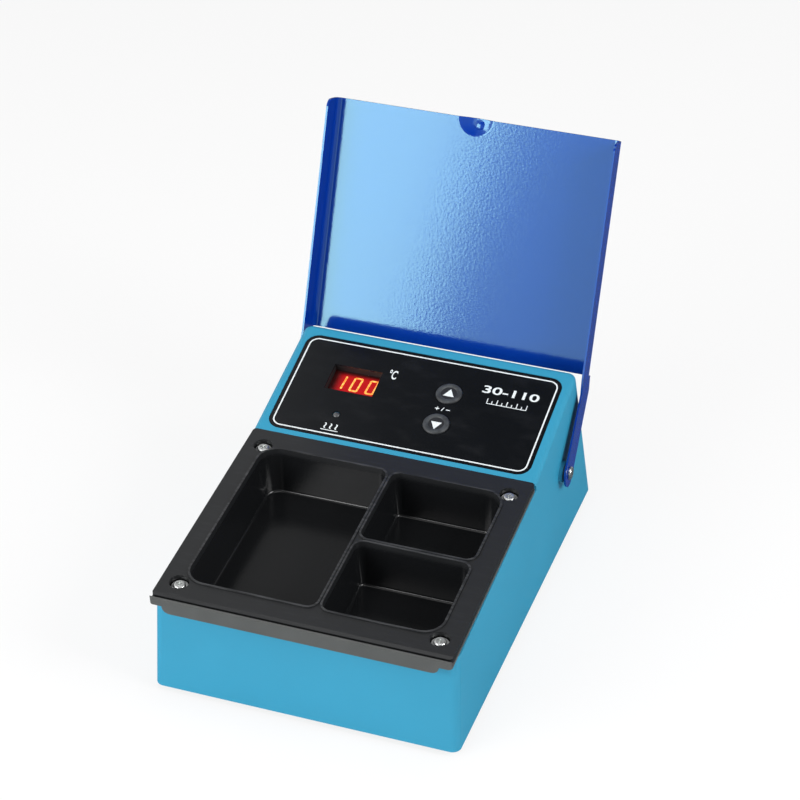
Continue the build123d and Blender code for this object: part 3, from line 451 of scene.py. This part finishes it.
def plated_metal(name, colour, roughness, slope=None, scratch=0.012):
    """Bright metal with fine turning marks and faint stains."""
    f = Finish(name)
    point = f.place(slope)
    stain = f.noise(point, 2.5, 3)
    marks = f.noise(f.stretched(point, (1.0, 6.0, 1.0)), 0.5, 2)
    tinted = f.blend(shade(colour, 0.78), colour, stain)
    return f.surface(Base_Color=tinted, Metallic=1.0,
                     Roughness=roughness + 0.12 * (stain - 0.5) + 0.06 * (marks - 0.5),
                     Normal=f.relief(marks, scratch))


def bright_screws():
    return plated_metal("bright_screws", (0.93, 0.95, 0.94), 0.30, TRAY)


def rivet_steel():
    return plated_metal("rivet_steel", (0.78, 0.79, 0.80), 0.26)


def zinc_screws():
    return plated_metal("zinc_screws", (0.66, 0.67, 0.66), 0.32)


def pin_metal():
    return plated_metal("pin_metal", (0.72, 0.70, 0.64), 0.25, REAR_WALL)


def probe_steel():
    return plated_metal("probe_steel", (0.62, 0.61, 0.60), 0.28)


def cutout_metal():
    return plated_metal("cutout_metal", (0.60, 0.56, 0.48), 0.35)


# ---- Finishes of sheet, rubber and what sits inside ----------------------------------
def sheet_metal(name, colour, along):
    """Rolled or plated sheet: fine lines along the rolling direction and cloudy spangle."""
    f = Finish(name)
    point = f.place()
    lines = f.noise(f.stretched(point, along), 0.6, 3)
    spangle = f.cells(point, 6)
    tinted = f.blend(shade(colour, 0.8), colour, f.between(spangle, 0.1, 0.9))
    return f.surface(Base_Color=tinted, Metallic=1.0, Roughness=0.34 + 0.14 * lines,
                     Normal=f.relief(lines, 0.008))


def zinc_sheet():
    return sheet_metal("zinc_sheet", (0.58, 0.59, 0.60), (0.05, 1.0, 1.0))


def clamp_aluminium():
    return sheet_metal("clamp_aluminium", (0.74, 0.74, 0.74), (1.0, 0.05, 1.0))


def heatsink_aluminium():
    return sheet_metal("heatsink_aluminium", (0.42, 0.43, 0.44), (1.0, 1.0, 0.05))


def moulded(name, colour, roughness, size=0.7, depth=0.012, slope=None):
    """Plain moulded material with a grain of its own size."""
    f = Finish(name)
    point = f.place(slope)
    grain = f.noise(point, size, 2)
    cloud = f.noise(point, size * 25, 2)
    tinted = f.blend(shade(colour, 0.85), shade(colour, 1.15), cloud)
    return f.surface(Base_Color=tinted, Roughness=roughness + 0.1 * (grain - 0.5),
                     Normal=f.relief(grain, depth))


def foot_rubber():
    return moulded("foot_rubber", (0.016, 0.016, 0.017), 0.72, 0.5, 0.03)


def silicone_mat():
    return moulded("silicone_mat", (0.42, 0.10, 0.03), 0.6, 0.9, 0.05)


def nylon():
    return moulded("nylon", (0.62, 0.60, 0.54), 0.45)


def relay_case():
    return moulded("relay_case", (0.015, 0.06, 0.22), 0.35)


def transformer_case():
    return moulded("transformer_case", (0.02, 0.02, 0.021), 0.4, 1.2, 0.02)


def terminal_plastic():
    return moulded("terminal_plastic", (0.02, 0.20, 0.07), 0.42)


def inlet_plastic():
    return moulded("inlet_plastic", (0.010, 0.010, 0.011), 0.34, 0.45, 0.012, REAR_WALL)


def rocker_plastic():
    return moulded("rocker_plastic", (0.013, 0.013, 0.014), 0.24, 0.6, 0.006, REAR_WALL)


def spacer_plastic():
    return moulded("spacer_plastic", (0.02, 0.02, 0.021), 0.45)


def glass_fibre():
    """White felt: long crossed fibres."""
    f = Finish("glass_fibre")
    point = f.place()
    one = f.noise(f.stretched(point, (0.15, 1.0, 1.0)), 0.5, 3)
    other = f.noise(f.stretched(point, (1.0, 0.15, 1.0)), 0.5, 3)
    fibres = one * 0.5 + other * 0.5
    return f.surface(Base_Color=f.blend((0.55, 0.54, 0.48), (0.82, 0.81, 0.76), fibres),
                     Roughness=0.9, Normal=f.relief(fibres, 0.15))


def board_laminate():
    """Green solder resist over copper tracks."""
    f = Finish("board_laminate")
    point = f.place()
    cell = f.cells(f.stretched(point, (1.0, 0.35, 1.0)), 3.2)
    track = f.between(cell, 0.30, 0.36) * f.between(cell, 0.46, 0.40)
    grain = f.noise(point, 0.4, 2)
    return f.surface(Base_Color=f.blend((0.008, 0.075, 0.030), (0.020, 0.150, 0.055), track),
                     Roughness=0.3 + 0.1 * grain, Normal=f.relief(track * 0.8 + grain * 0.2, 0.03))


def fuse_glass():
    """Clear glass with faint smears."""
    f = Finish("fuse_glass")
    smear = f.noise(f.place(REAR_WALL), 1.5, 2)
    return f.surface(Base_Color=f.blend((0.75, 0.78, 0.78), (0.88, 0.90, 0.90), smear),
                     Roughness=0.05 + 0.06 * smear, Alpha=0.45)


# The finish of each node.
FINISH_OF = {
    housing_plastic: ["housing"],
    zinc_sheet: ["base_plate"],
    foot_rubber: ["feet"],
    zinc_screws: ["base_screws", "heater_screws", "board_screws", "power_board_screws",
                  "inlet_screws", "inlet_nuts"],
    tray_coating: ["wax_tray"],
    frame_plastic: ["tray_frame"],
    bright_screws: ["tray_screws", "tray_washers"],
    silicone_mat: ["heater_mat"],
    clamp_aluminium: ["heater_clamp", "heat_shield"],
    glass_fibre: ["insulation_pad"],
    probe_steel: ["temperature_probe"],
    cutout_metal: ["thermal_cutout"],
    label_film: ["panel_label"],
    black_plastic: ["display_bezel", "tact_switches", "controller_chip", "triac"],
    red_window: ["display_window"],
    display_face: ["display_module"],
    key_plastic: ["button_up", "button_down"],
    lamp_resin: ["heating_led"],
    board_laminate: ["control_board", "power_board"],
    relay_case: ["relay"],
    nylon: ["power_standoffs"],
    transformer_case: ["transformer"],
    terminal_plastic: ["terminal_block"],
    heatsink_aluminium: ["heatsink"],
    inlet_plastic: ["mains_inlet", "power_switch_frame", "fuse_holder", "fuse_nut", "fuse_cap"],
    pin_metal: ["inlet_pins"],
    rocker_plastic: ["power_switch_rocker"],
    fuse_glass: ["glass_fuse"],
    lid_paint: ["lid"],
    spacer_plastic: ["hinge_spacers"],
    rivet_steel: ["rivet_washers", "hinge_rivets"],
}


def dress(obj, material):
    obj.data.materials.clear()
    obj.data.materials.append(material)


for finish, nodes in FINISH_OF.items():
    material = finish()
    for node in nodes:
        dress(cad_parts[node], material)


# ---- Modelling helpers ---------------------------------------------------------------
def let_go():
    bpy.ops.object.select_all(action="DESELECT")


def hold(obj):
    let_go()
    obj.select_set(True)
    bpy.context.view_layer.objects.active = obj


def choose(obj, kind, wanted):
    """Selects the edges or polygons of a mesh that a test on them wants, in edit mode."""
    bpy.context.tool_settings.mesh_select_mode = (False, kind == "edges", kind == "polygons")
    bpy.ops.object.mode_set(mode="EDIT")
    bpy.ops.mesh.select_all(action="DESELECT")
    bpy.ops.object.mode_set(mode="OBJECT")
    for item in getattr(obj.data, kind):
        item.select = wanted(item)
    bpy.ops.object.mode_set(mode="EDIT")


def done_editing():
    bpy.ops.object.mode_set(mode="OBJECT")


def upright(obj):
    """A test for the edges that stand along z."""
    places = [vertex.co.copy() for vertex in obj.data.vertices]

    def stands(edge):
        run = places[edge.vertices[0]] - places[edge.vertices[1]]
        return abs(run.z) > 0.9 * run.length

    return stands


def block(size, middle, turn=0.0):
    """A box of this size, its transform already in its mesh."""
    let_go()
    bpy.ops.mesh.primitive_cube_add(size=1, location=middle, rotation=(0, 0, turn))
    obj = bpy.context.object
    obj.scale = size
    bpy.ops.object.transform_apply(location=False, rotation=False, scale=True)
    return obj


def round_corners(obj, radius, segments):
    choose(obj, "edges", upright(obj))
    bpy.ops.mesh.bevel(offset=radius, segments=segments, affect="EDGES")
    done_editing()


def bake_place(obj):
    hold(obj)
    bpy.ops.object.transform_apply(location=True, rotation=True, scale=True)


def settle(obj, on):
    """Moves a piece from its flat drawing to its slope and leaves its place in its mesh."""
    bake_place(obj)
    obj.matrix_world = on
    bake_place(obj)
    return obj


def merged(objs, name):
    let_go()
    for obj in objs:
        obj.select_set(True)
    bpy.context.view_layer.objects.active = objs[0]
    if len(objs) > 1:
        bpy.ops.object.join()
    obj = bpy.context.object
    obj.name = name
    obj.data.name = name
    return obj


def finished(obj, name, material, body):
    obj.name = name
    obj.data.name = name
    dress(obj, material)
    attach(obj, body)
    return obj


# ---- Printing on the label -----------------------------------------------------------
INK = white_ink()
INK_LEVEL = LABEL_TOP + INK_THICKNESS / 2


def border_line():
    """A line with rounded corners round the label."""
    size = (2 * BORDER_HALF_WIDTH, BORDER_HIGH - BORDER_LOW, INK_THICKNESS)
    obj = block(size, (0, (BORDER_LOW + BORDER_HIGH) / 2, INK_LEVEL))
    round_corners(obj, BORDER_RADIUS, 12)
    choose(obj, "polygons", lambda face: abs(face.normal.z) > 0.9)
    bpy.ops.mesh.inset(thickness=BORDER_LINE, use_individual=True)
    bpy.ops.mesh.bridge_edge_loops()
    done_editing()
    return finished(settle(obj, PANEL), "border_line", INK, "base")


def characters(text, box, turn=0.0):
    """Flat characters that fill a box on the label, turned first if asked."""
    let_go()
    bpy.ops.object.text_add(rotation=(0, 0, turn))
    obj = bpy.context.object
    obj.data.body = text
    obj.data.size = TEXT_SIZE
    obj.data.extrude = INK_THICKNESS / 2
    obj.data.offset = TEXT_BOLDNESS
    bpy.ops.object.convert(target="MESH")
    bpy.ops.object.transform_apply(location=False, rotation=True, scale=False)
    obj = bpy.context.object
    low = Vector([min(v.co[i] for v in obj.data.vertices) for i in range(3)])
    high = Vector([max(v.co[i] for v in obj.data.vertices) for i in range(3)])
    x0, s0, x1, s1 = box
    obj.scale = ((x1 - x0) / (high.x - low.x), (s1 - s0) / (high.y - low.y), 1)
    obj.location = (x0 - low.x * obj.scale.x, s0 - low.y * obj.scale.y, INK_LEVEL)
    bake_place(obj)
    return obj


def lettering(text, box, name):
    return finished(settle(characters(text, box), PANEL), name, INK, "base")


def range_scale():
    """A ruled scale under the range of temperatures."""
    length = SCALE_RIGHT - SCALE_LEFT
    base = block((length + SCALE_LINE, SCALE_LINE, INK_THICKNESS),
                 ((SCALE_LEFT + SCALE_RIGHT) / 2, SCALE_LOW, INK_LEVEL))
    round_corners(base, SCALE_CORNER, 3)
    parts = [base]
    for step in range(SCALE_STEPS + 1):
        height = SCALE_SMALL_TICK if step % 2 else SCALE_TICK
        x = SCALE_LEFT + length * step / SCALE_STEPS
        middle = (x, SCALE_LOW + height / 2 + SCALE_LINE / 2, INK_LEVEL)
        tick = block((SCALE_LINE, height, INK_THICKNESS), middle)
        round_corners(tick, SCALE_CORNER, 3)
        parts.append(tick)
    for part in parts:
        bake_place(part)
    return finished(settle(merged(parts, "range_scale"), PANEL), "range_scale", INK, "base")


def wave(x, s):
    """One upright wave of the heat sign."""
    half_width, half_height = HEAT_WAVE_SIZE[0] / 2, HEAT_WAVE_SIZE[1] / 2
    box = (x - half_width, s - half_height, x + half_width, s + half_height)
    return characters("~", box, math.pi / 2)


def heat_sign():
    """Three waves over a bar, the usual sign for heat."""
    x, s = HEAT_CENTRE
    waves = [wave(x + i * HEAT_WAVE_PITCH, s + HEAT_WAVE_RISE) for i in (-1, 0, 1)]
    bar = block((*HEAT_BAR_SIZE, INK_THICKNESS), (x, s - HEAT_BAR_DROP, INK_LEVEL))
    round_corners(bar, HEAT_BAR_CORNER, 3)
    bake_place(bar)
    return finished(settle(merged([*waves, bar], "heat_sign"), PANEL), "heat_sign", INK, "base")


def set_sign():
    """A plus and a minus with a stroke between them, for the two keys."""
    flat = (KEY_MARK_SIZE, KEY_MARK_LINE, INK_THICKNESS)
    upright_bar = (KEY_MARK_LINE, KEY_MARK_SIZE, INK_THICKNESS)
    stroke_bar = (KEY_MARK_LINE, KEY_STROKE_LENGTH, INK_THICKNESS)
    left, right = KEY_X - KEY_MARK_REACH, KEY_X + KEY_MARK_REACH
    strokes = [
        block(flat, (left, KEY_MARK_S, INK_LEVEL)),
        block(upright_bar, (left, KEY_MARK_S, INK_LEVEL + KEY_MARK_LIFT)),
        block(stroke_bar, (KEY_X, KEY_MARK_S, INK_LEVEL), KEY_STROKE_LEAN),
        block(flat, (right, KEY_MARK_S, INK_LEVEL)),
    ]
    for stroke in strokes:
        round_corners(stroke, KEY_MARK_CORNER, 3)
        bake_place(stroke)
    return finished(settle(merged(strokes, "set_sign"), PANEL), "set_sign", INK, "base")


def key_arrow(s, shift, turn, name, body):
    """A printed triangle on a key."""
    let_go()
    level = KEY_TOP + INK_THICKNESS / 2
    radius = ARROW_SIDE / math.sqrt(3)
    bpy.ops.mesh.primitive_cylinder_add(vertices=3, radius=radius, depth=INK_THICKNESS)
    obj = bpy.context.object
    round_corners(obj, ARROW_CORNER, 4)
    obj.rotation_euler = (0, 0, turn)
    obj.location = (KEY_X + shift[0], s + shift[1], level)
    return finished(settle(obj, PANEL), name, INK, body)


def key_rim(s, name, body):
    """The soft raised ring round a key's arrow."""
    let_go()
    bpy.ops.mesh.primitive_torus_add(major_radius=KEY_RADIUS - KEY_RIM_INSET,
                                     minor_radius=KEY_RIM_RADIUS,
                                     major_segments=72, minor_segments=20)
    obj = bpy.context.object
    obj.scale.z = KEY_RIM_FLATNESS
    bpy.ops.object.transform_apply(location=False, rotation=False, scale=True)
    bpy.ops.object.mode_set(mode="EDIT")
    bpy.ops.mesh.select_all(action="SELECT")
    bpy.ops.mesh.bisect(plane_co=(0, 0, 0), plane_no=(0, 0, 1), use_fill=False, clear_inner=True)
    done_editing()
    bpy.ops.object.shade_smooth_by_angle(angle=math.radians(50))
    obj.location = (KEY_X, s, KEY_TOP)
    return finished(settle(obj, PANEL), name, KEY_RIM_FINISH, body)


border_line()
lettering("°C", DEGREE_BOX, "degree_sign")
lettering("30-110", RANGE_BOX, "range_numbers")
range_scale()
heat_sign()
set_sign()
key_arrow(UP_KEY_S, UP_ARROW_SHIFT, 0.0, "up_arrow", "button_up")
key_arrow(DOWN_KEY_S, DOWN_ARROW_SHIFT, math.pi, "down_arrow", "button_down")
KEY_RIM_FINISH = key_rim_plastic()
key_rim(UP_KEY_S, "up_key_rim", "button_up")
key_rim(DOWN_KEY_S, "down_key_rim", "button_down")


# ---- Lit digits ----------------------------------------------------------------------
# Each segment's middle, as shares of the digit's half sizes, and whether it stands.
SEGMENT_PLACES = {
    "a": (0, 1, False),
    "b": (1, 0.5, True),
    "c": (1, -0.5, True),
    "d": (0, -1, False),
    "e": (-1, -0.5, True),
    "f": (-1, 0.5, True),
}


def segment(centre, letter):
    """One segment of a digit, pointed at both ends."""
    across, up, stands = SEGMENT_PLACES[letter]
    half_width = (DIGIT_WIDTH - SEGMENT_WIDTH) / 2
    half_height = (DIGIT_HEIGHT - SEGMENT_WIDTH) / 2
    x, s = across * half_width, up * half_height
    length = (half_height if stands else 2 * half_width) + SEGMENT_WIDTH - 2 * SEGMENT_GAP
    turn = math.pi / 2 - DIGIT_SLANT if stands else 0
    level = DISPLAY_FACE + SEGMENT_THICKNESS
    obj = block((length, SEGMENT_WIDTH, SEGMENT_THICKNESS), (0, 0, 0))
    round_corners(obj, SEGMENT_WIDTH * SEGMENT_POINT, 1)
    obj.rotation_euler = (0, 0, turn)
    obj.location = (centre[0] + x + s * math.tan(DIGIT_SLANT), centre[1] + s, level)
    bake_place(obj)
    return obj


def digits():
    lit = []
    first = DIGIT_MIDDLE[0] - DIGIT_PITCH
    for place, number in enumerate(READING):
        centre = (first + place * DIGIT_PITCH, DIGIT_MIDDLE[1])
        lit += [segment(centre, letter) for letter in SEGMENTS_OF[number]]
    return finished(settle(merged(lit, "lit_digits"), PANEL), "lit_digits", lit_segment(), "base")


digits()


# ---- Floor, lamps and camera ---------------------------------------------------------
def direction_to(azimuth, elevation):
    """A unit vector from the heater. Azimuth 0 is its front, 90 degrees its right side."""
    return Vector((math.sin(azimuth) * math.cos(elevation),
                   -math.cos(azimuth) * math.cos(elevation),
                   math.sin(elevation)))


def floor():
    """A pale floor that the camera sees nearly white, with the heater's shadow on it.

    Mirrored, it is a darker grey and not the white that the camera sees.
    """
    let_go()
    bpy.ops.mesh.primitive_circle_add(vertices=96, radius=FLOOR_RADIUS, fill_type="NGON",
                                      location=(0, 0, FLOOR_LEVEL))
    obj = bpy.context.object
    obj.name = "floor"
    f = Finish("floor")
    seen = f.node("ShaderNodeLightPath", out="Is Camera Ray")
    mirrored = f.node("ShaderNodeLightPath", out="Is Glossy Ray")
    tone = f.blend(FLOOR_TONE, FLOOR_MIRRORED, mirrored)
    pale = f.node("ShaderNodeBsdfDiffuse", None, {"Color": tone})
    white = f.node("ShaderNodeEmission", None, {"Color": (1, 1, 1), "Strength": 1.0})
    mixed = f.node("ShaderNodeMixShader", None, {0: seen * FLOOR_WHITE, 1: pale, 2: white})
    f.node("ShaderNodeOutputMaterial", None, {"Surface": mixed})
    dress(obj, f.material)


def surroundings():
    """White to the camera. Mirrored, it is brightest near the horizon on the left, darkest
    overhead, and has one bright patch overhead on the left.
    """
    world = bpy.data.worlds.new("surroundings")
    bpy.context.scene.world = world
    world.use_nodes = True
    f = Finish("surroundings", world.node_tree)
    direction = f.node("ShaderNodeTexCoord", out="Generated")
    across, height = f.part_of(direction, "X"), f.part_of(direction, "Z")
    side = f.between(across, *SIDE_CHANGE)
    overhead = f.between(across, *OVERHEAD_ACROSS) * f.between(height, *OVERHEAD_HEIGHT)
    shown = f.between(height, *HEIGHT_CHANGE) * side + overhead
    mirrored = f.node("ShaderNodeLightPath", out="Is Glossy Ray") + f.node(
        "ShaderNodeLightPath", out="Is Transmission Ray")
    seen = f.node("ShaderNodeLightPath", out="Is Camera Ray")
    fill = FILL_LIGHT * (1 - seen - mirrored)
    strength = seen + mirrored * shown + fill
    back = f.node("ShaderNodeBackground", None, {"Color": (1, 1, 1), "Strength": strength})
    f.node("ShaderNodeOutputWorld", None, {"Surface": back})


def softbox(name, azimuth, elevation, distance, size, power):
    """A rectangular lamp that faces the heater."""
    lamp = bpy.data.lights.new(name, "AREA")
    lamp.shape = "RECTANGLE"
    lamp.size, lamp.size_y = size
    lamp.energy = power
    obj = bpy.data.objects.new(name, lamp)
    bpy.context.scene.collection.objects.link(obj)
    away = direction_to(math.radians(azimuth), math.radians(elevation))
    obj.location = Vector(LAMP_AIM) + away * distance
    obj.rotation_euler = away.to_track_quat("Z", "Y").to_euler()


def camera():
    data = bpy.data.cameras.new("camera")
    data.lens = CAMERA_LENS
    data.sensor_width = CAMERA_SENSOR
    obj = bpy.data.objects.new("camera", data)
    bpy.context.scene.collection.objects.link(obj)
    back = direction_to(CAMERA_AZIMUTH, CAMERA_ELEVATION)
    obj.location = CAMERA_TARGET + back * CAMERA_DISTANCE
    obj.rotation_euler = back.to_track_quat("Z", "Y").to_euler()
    bpy.context.scene.camera = obj


floor()
surroundings()
for lamp_name, lamp_values in LAMPS.items():
    softbox(lamp_name, *lamp_values)
camera()
bpy.context.scene.view_settings.view_transform = "Standard"
